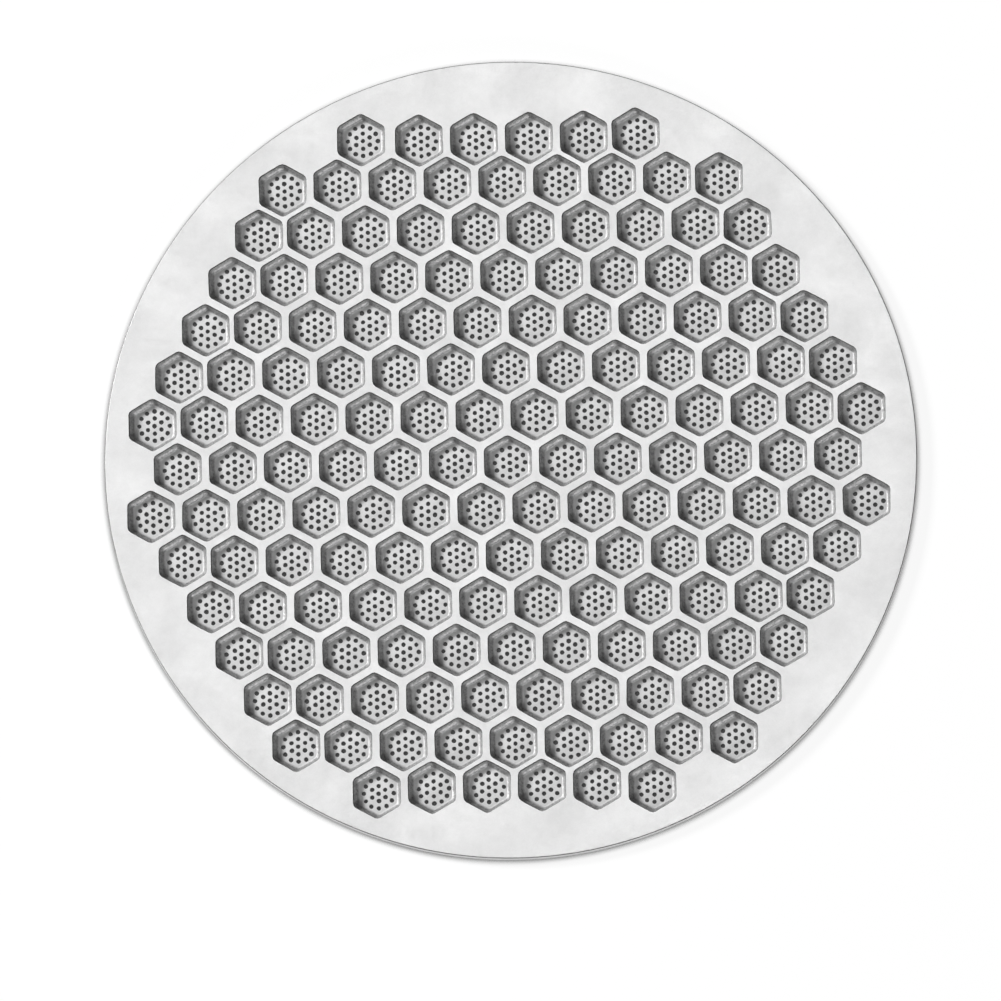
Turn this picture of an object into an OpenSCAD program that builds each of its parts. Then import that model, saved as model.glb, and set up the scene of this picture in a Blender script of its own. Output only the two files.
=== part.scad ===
// Espresso puck screen: a round plate of thin steel, etched from the front into a honeycomb
// of hexagonal pockets. Each pocket has sloping walls and a thin flat floor, and rings of
// fine holes go through the floor. The plain back lies on z = 0 and the pockets look up.

/* [Plate] */
// Diameter of the plate
plate_d = 53; // [52.5:0.5:60]
// Thickness of the plate
plate_t = 0.8; // [0.6:0.05:1.5]
// Bevel along both edges of the rim
rim_bevel = 0.06; // [0.02:0.01:0.2]

/* [Pockets] */
// Distance between the centres of neighbouring pockets
pitch = 3.59; // [3.4:0.01:3.65]
// Rings of pockets round the one in the middle
rings = 7; // [2:1:7]
// Width of a pocket across its flats, at the face
pocket_w = 3.1; // [2.9:0.05:3.25]
// Radius of a pocket's corners, at the face
corner_r = 0.35; // [0.1:0.05:0.6]
// Distance by which a pocket's walls slope inwards on their way down
wall_in = 0.4; // [0.2:0.05:0.5]
// Thickness of the floor left under each pocket
floor_t = 0.25; // [0.15:0.05:0.4]
// Distance of a pocket's floor and holes from the pocket's centre, across the rows' length
floor_x = 0.12; // [-0.15:0.01:0.15]
// Distance of a pocket's floor and holes from the pocket's centre, up the rows
floor_y = 0.03; // [-0.15:0.01:0.15]
// Distance by which the outermost pockets sit further in than the honeycomb
edge_pull = 0.23; // [0:0.01:0.4]
// Place of the honeycomb's centre, across the rows' length
pattern_x = -0.19; // [-0.3:0.01:0.3]
// Place of the honeycomb's centre, up the rows
pattern_y = -0.15; // [-0.3:0.01:0.3]

/* [Holes] */
// Diameter of the fine holes
hole_d = 0.26; // [0.15:0.01:0.3]
// Radius of the ring of six holes round the middle one
inner_ring_r = 0.5; // [0.4:0.05:0.6]

/* [Hidden] */

rim_fn = 180;
hole_fn = 24;
over = 0.1;
pocket_depth = plate_t - floor_t;
pocket_reach = (pocket_w / 2 - corner_r) / cos(30) + corner_r;
web_w = pitch - pocket_w;
floor_place = [floor_x, floor_y];

function direction(angle) = [cos(angle), sin(angle)];

// The pockets inside the outermost ring, in columns q and rows r of the honeycomb
inner_cells = [
    for (r = [1 - rings:rings - 1])
        for (q = [max(1 - rings, 1 - rings - r):min(rings - 1, rings - 1 - r)])
            [(q + r / 2) * pitch, r * pitch * sin(60)]
];

// Where each side of the outermost ring is pulled in from: its first pocket counted
// anticlockwise, the ones between, and its last pocket, as the direction that they face
pulled_from = [
    [30, 30, 30],
    [30, 90, 30],
    [90, 150, 150],
    [undef, 210, 210],
    [undef, 270, undef],
    [undef, 330, undef]
];

function pull(side, k) =
    let (facing = pulled_from[side][k == 1 ? 0 : k == rings - 1 ? 2 : 1])
    facing == undef ? [0, 0] : edge_pull * direction(facing);

// The outermost ring goes from corner to corner, and has no pocket at the corners
edge_cells = [
    for (side = [0:5])
        for (k = [1:rings - 1])
            rings * pitch * direction(60 * side)
            + k * pitch * direction(60 * side + 120)
            - pull(side, k)
];

// Only the pockets that leave as wide a web to the rim as to each other are made
function is_inside(cell) = norm(cell) + pocket_reach + web_w <= plate_d / 2 - rim_bevel;

cells = [
    for (cell = concat(inner_cells, edge_cells))
        let (place = cell + [pattern_x, pattern_y])
            if (is_inside(place)) place
];

hole_places = [
    for (place = concat([[0, 0]], [for (angle = [30:60:330]) inner_ring_r * direction(angle)]))
        place + floor_place
];

// A hexagon with flats to the left and right, whose corners are cut at their roundings
function hexagon(width, rounding) = [
    for (corner = [30:60:330])
        for (turn = [-30, 30])
            (width / 2 - rounding) / cos(30) * direction(corner)
            + rounding * direction(corner + turn)
];

module blank() {
    rotate_extrude($fn = rim_fn)
        polygon([
            [0, 0],
            [plate_d / 2 - rim_bevel, 0],
            [plate_d / 2, rim_bevel],
            [plate_d / 2, plate_t - rim_bevel],
            [plate_d / 2 - rim_bevel, plate_t],
            [0, plate_t]
        ]);
}

// The walls keep their slope a little way past the face, so that the cut goes clean through it.
// They spread from a centre at which the floor's shift has gone by the time they reach the face.
module pocket() {
    slope = wall_in / pocket_depth;
    floor_w = pocket_w - 2 * wall_in;
    cut_w = pocket_w + 2 * slope * over;
    centre = pocket_w / (2 * wall_in) * floor_place;
    translate([centre[0], centre[1], floor_t])
        linear_extrude(pocket_depth + over, scale = cut_w / floor_w)
            translate(floor_place - centre)
                polygon(hexagon(floor_w, corner_r * floor_w / pocket_w));
}

module fine_hole() {
    translate([0, 0, -over])
        cylinder(d = hole_d, h = floor_t + 2 * over, $fn = hole_fn);
}

module screen_plate() {
    color("gainsboro")
        difference() {
            blank();
            for (cell = cells)
                translate(cell)
                    pocket();
            for (cell = cells)
                for (hole = hole_places)
                    translate(cell + hole)
                        fine_hole();
        }
}

screen_plate();
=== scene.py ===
"""An espresso puck screen: its etched plate in full detail, on a pale floor in soft light."""
from collections import namedtuple

import bpy
import numpy as np
from mathutils import Matrix, Vector
from mathutils.geometry import delaunay_2d_cdt


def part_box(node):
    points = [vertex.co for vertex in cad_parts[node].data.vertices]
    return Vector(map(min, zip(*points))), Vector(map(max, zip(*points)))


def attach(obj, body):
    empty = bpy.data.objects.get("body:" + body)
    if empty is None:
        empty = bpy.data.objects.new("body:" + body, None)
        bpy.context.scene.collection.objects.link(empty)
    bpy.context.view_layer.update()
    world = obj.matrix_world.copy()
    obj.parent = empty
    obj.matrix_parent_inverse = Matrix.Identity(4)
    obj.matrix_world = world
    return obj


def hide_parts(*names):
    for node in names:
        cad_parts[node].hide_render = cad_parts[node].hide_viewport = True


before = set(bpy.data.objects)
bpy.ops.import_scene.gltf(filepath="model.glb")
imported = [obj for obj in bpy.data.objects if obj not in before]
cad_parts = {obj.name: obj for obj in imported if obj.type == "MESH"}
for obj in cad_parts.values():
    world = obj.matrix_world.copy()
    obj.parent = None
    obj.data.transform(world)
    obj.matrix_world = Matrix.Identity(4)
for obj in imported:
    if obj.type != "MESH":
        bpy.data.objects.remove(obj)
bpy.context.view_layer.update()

NODE = "screen_plate"
MM = 0.001

# Plate, in millimetres. Its radius and thickness are the frame's own.
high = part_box(NODE)[1]
PLATE_R = high.x / MM
PLATE_T = high.z / MM
RIM_SIDES = 240
RIM_BEVEL = 0.06

# Honeycomb, in millimetres, laid out as the frame has it
PITCH = 3.59
RINGS = 7
PATTERN_SHIFT = np.array([-0.19, -0.15])
EDGE_PULL = 0.23
# The way that each side's first, middle and last pockets face when they are pulled in
PULLED_FROM = [
    [30, 30, 30],
    [30, 90, 30],
    [90, 150, 150],
    [None, 210, 210],
    [None, 270, None],
    [None, 330, None],
]

# Degrees from one corner of a hexagon to the next, and from a corner to the middle of a side
CORNER_STEP = 60
HALF_STEP = 30

# Pocket, in millimetres. Its corners are a little rounder than the frame's, and its walls
# end a little nearer to its edge.
POCKET_W = 3.1
CORNER_R = 0.36
CORNER_TURNS = (-30, 0, 30)
CORNER_SHRINK = 0.35
SIDE_BULGE = 0.003
FLOOR_T = 0.25
FLOOR_SHIFT = np.array([0.12, 0.03])
WALL_FOOT_IN = 0.36
# How far inside the pocket's edge, and how deep, each loop down the wall lies
WALL_PROFILE = [
    (-0.012, 0.0),
    (0.004, 0.02),
    (0.02, 0.1),
    (0.06, 0.24),
    (0.12, 0.37),
    (0.19, 0.465),
    (0.27, 0.525),
    (WALL_FOOT_IN, PLATE_T - FLOOR_T),
]

# Fine holes, in millimetres, a little wider than the frame's. The patch is the share of the
# back that goes with one pocket.
HOLE_R = 0.157
HOLE_SIDES = 8
INNER_RING_R = 0.5
OUTER_RING_R = 0.98
BACK_PATCH_W = 2.7

# Unevenness of the etching: how far a hole drifts and a pocket's edge waves, in millimetres,
# and how much a hole's size and its outline vary, as shares of its radius
HOLE_DRIFT = 0.014
HOLE_SPREAD = 0.07
HOLE_ROUGHNESS = 0.08
EDGE_WAVE = 0.008
EDGE_WAVE_TURNS = (2, 3, 5, 7)
SEED = 11

# Triangulation: how near two corners are taken as one, in millimetres, and the kind of result,
# which is triangles all over the outer loop
MERGE_WITHIN = 1e-7
WHOLE_HULL = 0


def direction(angle):
    """The unit vector at an angle in degrees, or one row each for several angles."""
    turn = np.radians(angle)
    return np.stack([np.cos(turn), np.sin(turn)], axis=-1)


def circle(radius, sides, first=0):
    """Corners spaced evenly round a circle, from the angle first."""
    return radius * direction(first + np.arange(sides) * 360 / sides)


def inner_cells():
    """The pockets inside the outermost ring."""
    last = RINGS - 1
    for r in range(-last, last + 1):
        for q in range(max(-last, -last - r), min(last, last - r) + 1):
            yield PITCH * np.array([q + r / 2, r * np.sin(np.radians(CORNER_STEP))])


def edge_cells():
    """The outermost ring, from corner to corner, each pocket pulled in as the frame has it."""
    for side, (first, middle, last) in enumerate(PULLED_FROM):
        corner = CORNER_STEP * side
        along = corner + 2 * CORNER_STEP
        facings = [first] + [middle] * (RINGS - 3) + [last]
        for k, facing in enumerate(facings, start=1):
            place = RINGS * PITCH * direction(corner) + k * PITCH * direction(along)
            yield place if facing is None else place - EDGE_PULL * direction(facing)


def hole_centres():
    """One hole in the middle, six round it and twelve round those."""
    inner = circle(INNER_RING_R, 6, first=HALF_STEP)
    outer = circle(OUTER_RING_R, 12)
    return np.concatenate([np.zeros((1, 2)), inner, outer])


def rounded_hexagon(half_width, radius):
    """A hexagon with flats left and right: each corner's arc, then the middle of the next flat."""
    points = []
    for corner in range(HALF_STEP, 360, CORNER_STEP):
        centre = (half_width - radius) / np.cos(np.radians(HALF_STEP)) * direction(corner)
        points += [centre + radius * direction(corner + turn) for turn in CORNER_TURNS]
        points.append((half_width + SIDE_BULGE) * direction(corner + HALF_STEP))
    return np.array(points)


def loop_edges(loops):
    """Pairs of corner numbers along each closed loop, when all loops are put in one list."""
    start = 0
    for loop in loops:
        size = len(loop)
        yield from ((start + k, start + (k + 1) % size) for k in range(size))
        start += size


def fill(loops):
    """Triangles between the first loop and the others, which stay open. Loops are convex."""
    points = np.concatenate(loops)
    owner = np.repeat(np.arange(len(loops)), [len(loop) for loop in loops])
    flat = [Vector(point) for point in points]
    filled = delaunay_2d_cdt(flat, list(loop_edges(loops)), [], WHOLE_HULL, MERGE_WITHIN)
    faces, source = filled[2:4]
    triangles = np.array([[source[v][0] for v in face] for face in faces])
    owners = owner[triangles]
    in_hole = (owners[:, 0] > 0) & (owners == owners[:, :1]).all(axis=1)
    triangles = triangles[~in_hole]
    a, b, c = (points[triangles[:, k]] for k in range(3))
    area = (b - a)[:, 0] * (c - a)[:, 1] - (b - a)[:, 1] * (c - a)[:, 0]
    triangles[area < 0] = triangles[area < 0][:, ::-1]
    return triangles


def band(upper, lower):
    """Quads between two rings of corners that both run anticlockwise, facing inwards."""
    return np.stack([upper, np.roll(upper, -1), np.roll(lower, -1), lower], axis=1)


class Pocket:
    """One pocket, as corners and faces that are repeated over the plate."""

    def __init__(self):
        self.rings = []
        self.count = 0
        self.loops = [self.add_wall_loop(inset, depth) for inset, depth in WALL_PROFILE]
        self.patch = self.add(rounded_hexagon(BACK_PATCH_W / 2, CORNER_R) + FLOOR_SHIFT, 0)
        hole = circle(HOLE_R, HOLE_SIDES)
        centres = hole_centres() + FLOOR_SHIFT
        self.tops = [self.add(centre + hole, FLOOR_T) for centre in centres]
        self.ends = [self.add(centre + hole, 0) for centre in centres]
        self.corners = np.concatenate(self.rings)
        self.walls = [band(a, b) for a, b in zip(self.loops, self.loops[1:])]
        self.tubes = [band(a, b) for a, b in zip(self.tops, self.ends)]
        self.floor = self.filled([self.loops[-1]] + self.tops)
        self.back = self.filled([self.patch] + self.ends)[:, ::-1]

    def add(self, points, z):
        """Adds a ring of corners at one height and returns their numbers."""
        self.rings.append(np.column_stack([points, np.full(len(points), z)]))
        self.count += len(points)
        return np.arange(self.count - len(points), self.count)

    def add_wall_loop(self, inset, depth):
        """Adds one loop of the wall, which moves to the floor's place on its way down."""
        radius = CORNER_R - CORNER_SHRINK * inset
        shift = FLOOR_SHIFT * max(inset, 0) / WALL_FOOT_IN
        return self.add(rounded_hexagon(POCKET_W / 2 - inset, radius) + shift, PLATE_T - depth)

    def filled(self, rings):
        """Triangles inside the first ring and outside the others, by the corners' numbers."""
        numbers = np.concatenate(rings)
        return numbers[fill([self.corners[ring][:, :2] for ring in rings])]


def scatter_holes(pocket, corners, rng):
    """Moves, resizes and roughens each hole a little. corners has a row for each pocket."""
    many = len(corners)
    for top, end in zip(pocket.tops, pocket.ends):
        both = np.concatenate([top, end])
        centre = corners[:, top, :2].mean(axis=1, keepdims=True)
        drift = rng.uniform(-HOLE_DRIFT, HOLE_DRIFT, (many, 1, 2))
        size = 1 + rng.uniform(-HOLE_SPREAD, HOLE_SPREAD, (many, 1, 1))
        ragged = rng.uniform(-HOLE_ROUGHNESS, HOLE_ROUGHNESS, (many, len(top), 1))
        size = size + np.concatenate([ragged, ragged], axis=1)
        corners[:, both, :2] = centre + drift + size * (corners[:, both, :2] - centre)


def wave_edges(pocket, corners, rng):
    """Waves the edge of each pocket, less and less down its wall and not at all at its foot."""
    many = len(corners)
    sides = len(pocket.loops[0])
    angles = np.arange(sides) * 2 * np.pi / sides
    wave = np.zeros((many, sides))
    for turns in EDGE_WAVE_TURNS:
        phase = rng.uniform(0, 2 * np.pi, (many, 1))
        wave += rng.uniform(-EDGE_WAVE, EDGE_WAVE, (many, 1)) * np.sin(turns * angles + phase)
    out = np.stack([np.cos(angles), np.sin(angles)], axis=-1)
    for loop in pocket.loops:
        share = (corners[0, loop[0], 2] - FLOOR_T) / (PLATE_T - FLOOR_T)
        corners[:, loop, :2] += share * wave[:, :, None] * out[None]


def rim_loops():
    """(radius, height) of each loop round the plate's edge, from the face to the back."""
    rise = RIM_BEVEL * (1 - np.cos(np.radians(45)))
    return [
        (PLATE_R - RIM_BEVEL, PLATE_T),
        (PLATE_R - rise, PLATE_T - rise),
        (PLATE_R, PLATE_T - RIM_BEVEL),
        (PLATE_R, RIM_BEVEL),
        (PLATE_R - rise, rise),
        (PLATE_R - RIM_BEVEL, 0),
    ]


def plate_mesh():
    """The whole plate, closed: its corners in metres, its rounded faces and its flat ones."""
    pocket = Pocket()
    cells = np.array(list(inner_cells()) + list(edge_cells())) + PATTERN_SHIFT
    even = np.repeat(pocket.corners[None], len(cells), axis=0)
    even[:, :, :2] += cells[:, None]
    uneven = even.copy()
    rng = np.random.default_rng(SEED)
    scatter_holes(pocket, uneven, rng)
    wave_edges(pocket, uneven, rng)
    starts = np.arange(len(cells)) * pocket.count

    rims = [np.column_stack([circle(r, RIM_SIDES), np.full(RIM_SIDES, z)]) for r, z in rim_loops()]
    first = len(cells) * pocket.count
    rim_numbers = [first + RIM_SIDES * k + np.arange(RIM_SIDES) for k in range(len(rims))]
    corners = np.concatenate([uneven.reshape(-1, 3)] + rims)

    def over_cells(faces):
        """One pocket's faces, repeated for every pocket."""
        return (faces[None] + starts[:, None, None]).reshape(-1, faces.shape[1])

    def web(rim, ring):
        """The flat face inside a loop of the rim and outside the same ring of every pocket."""
        loops = [rims[rim][:, :2]] + [cell[ring][:, :2] for cell in even]
        numbers = [rim_numbers[rim]] + [ring + start for start in starts]
        return np.concatenate(numbers)[fill(loops)]

    rounded = [over_cells(wall) for wall in pocket.walls]
    rounded += [band(lower, upper) for upper, lower in zip(rim_numbers, rim_numbers[1:])]
    flat = [over_cells(tube) for tube in pocket.tubes]
    flat += [over_cells(pocket.floor), over_cells(pocket.back)]
    flat += [web(0, pocket.loops[0]), web(-1, pocket.patch)[:, ::-1]]
    return corners * MM, rounded, flat


def make_mesh(name, corners, rounded, flat):
    """Builds a mesh from corners and arrays of faces, smooth on the rounded ones."""
    groups = rounded + flat
    sizes = np.concatenate([np.full(len(group), group.shape[1]) for group in groups])
    numbers = np.concatenate([group.ravel() for group in groups])
    mesh = bpy.data.meshes.new(name)
    mesh.vertices.add(len(corners))
    mesh.vertices.foreach_set("co", corners.ravel())
    mesh.loops.add(len(numbers))
    mesh.loops.foreach_set("vertex_index", numbers)
    mesh.polygons.add(len(sizes))
    mesh.polygons.foreach_set("loop_start", np.concatenate([[0], np.cumsum(sizes)[:-1]]))
    smooth = np.zeros(len(sizes), bool)
    smooth[: sum(len(group) for group in rounded)] = True
    mesh.polygons.foreach_set("use_smooth", smooth)
    mesh.update(calc_edges=True)
    mesh.validate()
    return mesh


class Nodes:
    """A short way to build a node tree."""

    def __init__(self, tree):
        self.tree = tree

    def add(self, kind, inputs=None, **settings):
        """Adds a node, and links or sets each input by its name or number."""
        node = self.tree.nodes.new(kind)
        for name, value in settings.items():
            setattr(node, name, value)
        for key, value in (inputs or {}).items():
            socket = node.inputs[key]
            if isinstance(value, bpy.types.NodeSocket):
                self.tree.links.new(value, socket)
            else:
                socket.default_value = value
        return node

    def math(self, operation, a, b=0.0):
        return self.add("ShaderNodeMath", {0: a, 1: b}, operation=operation).outputs[0]

    def length(self, place):
        return self.add("ShaderNodeVectorMath", {0: place}, operation="LENGTH").outputs["Value"]

    def height(self, place):
        return self.add("ShaderNodeSeparateXYZ", {0: place}).outputs["Z"]

    def noise(self, place, scale, detail, roughness):
        inputs = {"Vector": place, "Scale": scale, "Detail": detail, "Roughness": roughness}
        return self.add("ShaderNodeTexNoise", inputs).outputs["Fac"]

    def openness(self, reach, samples):
        """How open the surroundings are within a reach, from 0 to 1."""
        node = self.add("ShaderNodeAmbientOcclusion", {"Distance": reach}, samples=samples)
        return node.outputs["AO"]

    def ramp(self, value, span, ends=(0.0, 1.0)):
        """Goes from one end to the other while the value crosses the span, and no further."""
        inputs = {
            "Value": value,
            "From Min": span[0],
            "From Max": span[1],
            "To Min": ends[0],
            "To Max": ends[1],
        }
        return self.add("ShaderNodeMapRange", inputs, clamp=True).outputs[0]

    def between(self, share, a, b):
        """The value a where the share is 0, and b where it is 1."""
        return self.ramp(share, (0.0, 1.0), (a, b))


def new_material(name):
    """An empty material, and its node tree."""
    material = bpy.data.materials.new(name)
    material.use_nodes = True
    material.node_tree.nodes.clear()
    return material, Nodes(material.node_tree)


Surface = namedtuple("Surface", "grey metal rough")
Shares = namedtuple("Shares", "etched wall lip level")

# Surfaces of the steel. The lip is the dark edge of a pocket, close under the face.
FACE = Surface(grey=0.80, metal=1.0, rough=0.36)
FLOOR = Surface(grey=0.70, metal=0.3, rough=0.52)
# The walls' dark grey is partly their own tone and partly painted shade.
WALL = Surface(grey=0.36, metal=0.6, rough=0.46)
LIP = Surface(grey=0.08, metal=0.3, rough=0.7)
WALL_FOOT_ROUGH = 0.62
BEVEL_DULLNESS = 0.8

# Spans over which one surface turns into the next: radius, heights, and the upward part of
# the direction that the surface faces
PATTERN_EDGE = (PLATE_R - 0.6, PLATE_R - 0.8)
UNDER_FACE = (PLATE_T - 0.003, PLATE_T - 0.012)
ABOVE_BACK = (0.02, 0.1)
LIP_HEIGHTS = (PLATE_T - 0.2, PLATE_T - 0.1)
BEVEL_HEIGHTS = (PLATE_T - 0.09, PLATE_T - 0.05)
STEEP = (0.99, 0.88)
WALL_FOOT = (0.8, 0.9)

# Noises in the steel: scale per millimetre, detail and roughness. The spans are the levels
# that count as their lows and highs.
NOISES = {
    "cloud": (0.32, 4.0, 0.6),
    "stain": (1.7, 3.0, 0.6),
    "grain": (9.0, 2.0, 0.6),
    "fine": (26.0, 2.0, 0.6),
    "pits": (6.0, 3.0, 0.7),
}
NOISE_SPAN = (0.3, 0.7)
STAIN_SPAN = (0.3, 0.75)

# What the noises add to the shade and the roughness, at their lows and at their highs
CLOUD_SHADE = (-0.075, 0.06)
STAIN_SHADE = (0.02, -0.045)
GRAIN_SHADE = (-0.02, 0.02)
PIT_SHADE = (-0.4, 0.5)
CLOUD_ROUGH = (-0.03, 0.04)
FINE_ROUGH = (-0.03, 0.03)

# Painted shade in crevices: how far the crevices are looked for, in metres, and how dark the
# painted shade gets
CREVICE_REACH = 0.0006
CREVICE_SAMPLES = 6
CREVICE_SPAN = (0.55, 0.95)
CREVICE_PAINTED_SHADE = (0.7, 1.0)

# Relief: how much each noise counts, the strength on the face and in the pockets, and the
# depth in metres
GRAIN_RELIEF = 0.5
FINE_RELIEF = 0.5
PIT_RELIEF = 2.2
FACE_RELIEF = 0.12
ETCHED_RELIEF = 0.5
RELIEF_DEPTH = 0.00003


def steel_shares(nodes, where, normal):
    """How far each place is etched, wall or lip, from 0 to 1, and how level it is."""
    height = nodes.height(where)
    level = nodes.math("ABSOLUTE", nodes.height(normal))
    in_pattern = nodes.ramp(nodes.length(where), PATTERN_EDGE)
    under_face = nodes.ramp(height, UNDER_FACE)
    etched = nodes.math("MULTIPLY", under_face, nodes.ramp(height, ABOVE_BACK))
    pocket_edge = nodes.ramp(height, LIP_HEIGHTS, (0.0, in_pattern))
    bevel = nodes.ramp(height, BEVEL_HEIGHTS, (0.0, BEVEL_DULLNESS))
    lip = nodes.math("MULTIPLY", under_face, nodes.math("MAXIMUM", pocket_edge, bevel))
    steep = nodes.math("MULTIPLY", nodes.ramp(level, STEEP), in_pattern)
    return Shares(etched, nodes.math("MAXIMUM", steep, lip), lip, level)


def layered(nodes, shares, face, floor, wall, lip):
    """The face's value, with the floor's, the wall's and the lip's laid over it in turn."""
    value = nodes.between(shares.etched, face, floor)
    value = nodes.between(shares.wall, value, wall)
    return nodes.between(shares.lip, value, lip)


def steel_colour(nodes, shares, noise):
    """Each surface's grey, uneven all over, pitted on the walls, and darkened in crevices by
    painted shade.
    """
    grey = layered(nodes, shares, FACE.grey, FLOOR.grey, WALL.grey, LIP.grey)
    pits = nodes.ramp(noise["pits"], NOISE_SPAN, PIT_SHADE)
    shade = 1.0
    for part in (
        nodes.ramp(noise["cloud"], NOISE_SPAN, CLOUD_SHADE),
        nodes.ramp(noise["stain"], STAIN_SPAN, STAIN_SHADE),
        nodes.ramp(noise["grain"], NOISE_SPAN, GRAIN_SHADE),
        nodes.math("MULTIPLY", pits, shares.wall),
    ):
        shade = nodes.math("ADD", part, shade)
    # Painted shade: the colour is darker where other steel is close by, in crevices and at the
    # feet of the walls
    openness = nodes.openness(CREVICE_REACH, CREVICE_SAMPLES)
    shade = nodes.math("MULTIPLY", nodes.ramp(openness, CREVICE_SPAN, CREVICE_PAINTED_SHADE), shade)
    return nodes.math("MULTIPLY", grey, shade)


def steel_roughness(nodes, shares, noise):
    """Each surface's roughness, uneven all over. The foot of a wall is rougher than its top."""
    wall = nodes.ramp(shares.level, WALL_FOOT, (WALL.rough, WALL_FOOT_ROUGH))
    rough = layered(nodes, shares, FACE.rough, FLOOR.rough, wall, LIP.rough)
    rough = nodes.math("ADD", rough, nodes.ramp(noise["cloud"], NOISE_SPAN, CLOUD_ROUGH))
    return nodes.math("ADD", rough, nodes.ramp(noise["fine"], NOISE_SPAN, FINE_ROUGH))


def steel_relief(nodes, shares, noise):
    """A fine grain that is stronger where the steel is etched, with pits on the walls."""
    grain = nodes.math("MULTIPLY", noise["grain"], GRAIN_RELIEF)
    fine = nodes.math("MULTIPLY", noise["fine"], FINE_RELIEF)
    pits = nodes.math("MULTIPLY", nodes.math("MULTIPLY", noise["pits"], shares.wall), PIT_RELIEF)
    inputs = {
        "Height": nodes.math("ADD", nodes.math("ADD", grain, fine), pits),
        "Strength": nodes.between(shares.etched, FACE_RELIEF, ETCHED_RELIEF),
        "Distance": RELIEF_DEPTH,
    }
    return nodes.add("ShaderNodeBump", inputs).outputs[0]


def steel():
    """Etched stainless steel: a satin face, duller pocket floors and darker walls, whose grey is
    partly their own and partly painted shade.
    """
    material, nodes = new_material("etched_steel")
    place = nodes.add("ShaderNodeTexCoord")
    to_mm = {0: place.outputs["Object"], 1: (1 / MM,) * 3}
    where = nodes.add("ShaderNodeVectorMath", to_mm, operation="MULTIPLY").outputs[0]
    shares = steel_shares(nodes, where, place.outputs["Normal"])
    noise = {name: nodes.noise(where, *look) for name, look in NOISES.items()}
    inputs = {
        "Base Color": steel_colour(nodes, shares, noise),
        "Metallic": layered(nodes, shares, FACE.metal, FLOOR.metal, WALL.metal, LIP.metal),
        "Roughness": steel_roughness(nodes, shares, noise),
        "Normal": steel_relief(nodes, shares, noise),
    }
    shader = nodes.add("ShaderNodeBsdfPrincipled", inputs)
    nodes.add("ShaderNodeOutputMaterial", {"Surface": shader.outputs[0]})
    return material


# The floor that the plate lies on: its reach and its drop below the plate, in metres, and
# the share of its light that is its own, so that it looks white
STAGE_REACH = 4.0
STAGE_DROP = 0.00001
STAGE_OWN_LIGHT = 0.9

# Greys of that floor, in the open and in the shadow close under the plate
STAGE_GREY = 0.97
STAGE_OWN_GREY = 1.0
SHADOW_GREY = 0.05
SHADOW_REACH = 0.0006
SHADOW_SAMPLES = 8
SHADOW_SPAN = (0.35, 0.8)


def stage_material():
    """A white floor that keeps a light shadow and is dark close under the plate."""
    material, nodes = new_material("pale_floor")
    clear = nodes.ramp(nodes.openness(SHADOW_REACH, SHADOW_SAMPLES), SHADOW_SPAN)
    colour = nodes.between(clear, SHADOW_GREY, STAGE_GREY)
    own = nodes.between(clear, SHADOW_GREY, STAGE_OWN_GREY)
    lit = nodes.add("ShaderNodeBsdfDiffuse", {"Color": colour})
    white = nodes.add("ShaderNodeEmission", {"Color": own})
    path = nodes.add("ShaderNodeLightPath")
    seen = nodes.math("MAXIMUM", path.outputs["Is Camera Ray"], path.outputs["Is Glossy Ray"])
    seen = nodes.math("MAXIMUM", seen, path.outputs["Is Transmission Ray"])
    share = nodes.math("MULTIPLY", seen, STAGE_OWN_LIGHT)
    surface = nodes.add("ShaderNodeMixShader", {0: share, 1: lit.outputs[0], 2: white.outputs[0]})
    nodes.add("ShaderNodeOutputMaterial", {"Surface": surface.outputs[0]})
    return material


def add_plate():
    """Stands the detailed plate in for the frame's one, in the same place."""
    plate = bpy.data.objects.new("etched_plate", make_mesh("etched_plate", *plate_mesh()))
    bpy.context.scene.collection.objects.link(plate)
    plate.data.materials.append(steel())
    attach(plate, "root")
    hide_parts(NODE)


def add_floor():
    """One wide triangle, so that no seam of the floor crosses the view."""
    mesh = bpy.data.meshes.new("floor")
    corners = [(x, y, -STAGE_DROP) for x, y in circle(STAGE_REACH, 3, first=90)]
    mesh.from_pydata(corners, [], [(0, 1, 2)])
    floor = bpy.data.objects.new("floor", mesh)
    bpy.context.scene.collection.objects.link(floor)
    mesh.materials.append(stage_material())


# Square softboxes that face the plate: azimuth, where 0 is +X and 90 is +Y, and elevation in
# degrees, distance and side in metres, and power in watts
LAMPS = {
    "key": (156, 33, 0.8, 0.16, 9.4),
    "overhead": (92, 78.5, 0.9, 0.25, 0.64),
    "streak": (300, 20, 0.8, 0.1, 3.1),
}

# Strength of the surround as the scene sees it, and as the camera does
SURROUND = 0.04
SURROUND_SEEN = 1.0


def add_lamp(name, azimuth, elevation, distance, side, power):
    """One softbox."""
    lamp = bpy.data.lights.new(name, "AREA")
    lamp.shape = "SQUARE"
    lamp.size = side
    lamp.energy = power
    holder = bpy.data.objects.new(name, lamp)
    bpy.context.scene.collection.objects.link(holder)
    flat = direction(azimuth) * np.cos(np.radians(elevation))
    away = Vector((flat[0], flat[1], np.sin(np.radians(elevation))))
    holder.location = away * distance
    holder.rotation_euler = away.to_track_quat("Z", "Y").to_euler()


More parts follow.
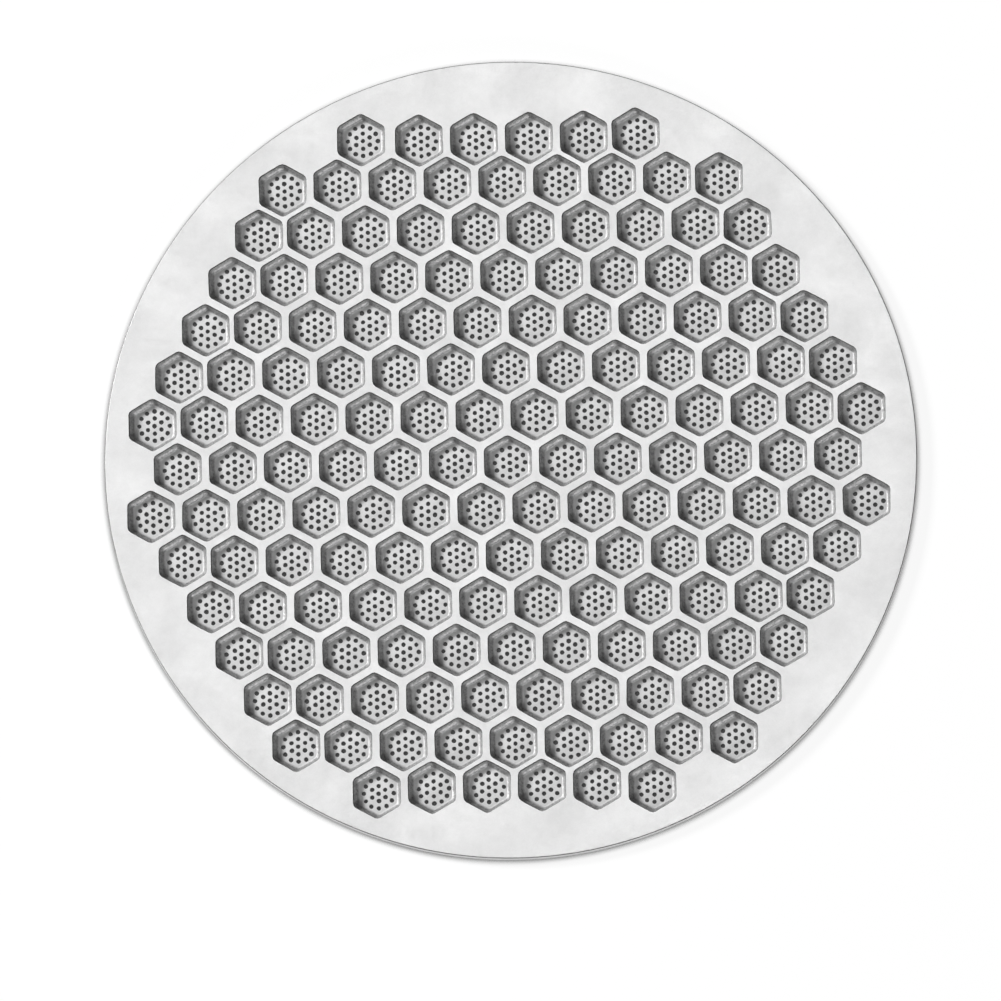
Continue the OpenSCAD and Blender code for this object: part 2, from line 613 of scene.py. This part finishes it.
def add_light():
    """A key at the upper left, a soft one overhead, and one low at the lower right that
    glints on the upper left walls. The surround is dim, and white only to the camera."""
    for name, settings in LAMPS.items():
        add_lamp(name, *settings)
    world = bpy.data.worlds.new("studio")
    bpy.context.scene.world = world
    world.use_nodes = True
    nodes = Nodes(world.node_tree)
    seen = nodes.add("ShaderNodeLightPath").outputs["Is Camera Ray"]
    strength = nodes.between(seen, SURROUND, SURROUND_SEEN)
    background = world.node_tree.nodes["Background"]
    background.inputs["Color"].default_value = (1, 1, 1, 1)
    world.node_tree.links.new(strength, background.inputs["Strength"])


# The view: how far the camera stands off the plate's own axis to the right and downwards,
# its roll, all in degrees, and where the plate's centre falls in the picture, in pixels
TILT_RIGHT = 1.0
TILT_DOWN = 11.29
ROLL = 1.16
IMAGE_SIDE = 1001
PIXELS_PER_MM = 15.326
CENTRE_PX = (511.02, 461.61)

# The camera's distance, in metres, and the width of its sensor, in millimetres
CAMERA_DISTANCE = 2.5
SENSOR = 36.0


def add_camera():
    """A long lens that looks down on the plate from the photograph's side."""
    right_tilt, down_tilt, roll = np.radians([TILT_RIGHT, TILT_DOWN, ROLL])
    x, y = np.sin(right_tilt), -np.sin(down_tilt)
    back = Vector((x, y, np.sqrt(1 - x * x - y * y)))
    right = Vector((0, 1, 0)).cross(back).normalized()
    up = back.cross(right)
    turned_right = right * np.cos(roll) - up * np.sin(roll)
    turned_up = right * np.sin(roll) + up * np.cos(roll)
    pixel = MM / PIXELS_PER_MM
    off_x = (IMAGE_SIDE / 2 - CENTRE_PX[0]) * pixel
    off_y = (CENTRE_PX[1] - IMAGE_SIDE / 2) * pixel
    place = turned_right * off_x + turned_up * off_y + back * CAMERA_DISTANCE
    turn = Matrix((turned_right, turned_up, back)).transposed()
    data = bpy.data.cameras.new("camera")
    data.sensor_width = SENSOR
    data.lens = SENSOR * CAMERA_DISTANCE / (IMAGE_SIDE * pixel)
    camera = bpy.data.objects.new("camera", data)
    bpy.context.scene.collection.objects.link(camera)
    camera.matrix_world = Matrix.Translation(place) @ turn.to_4x4()
    bpy.context.scene.camera = camera


add_plate()
add_floor()
add_light()
add_camera()
bpy.context.scene.view_settings.view_transform = "Standard"
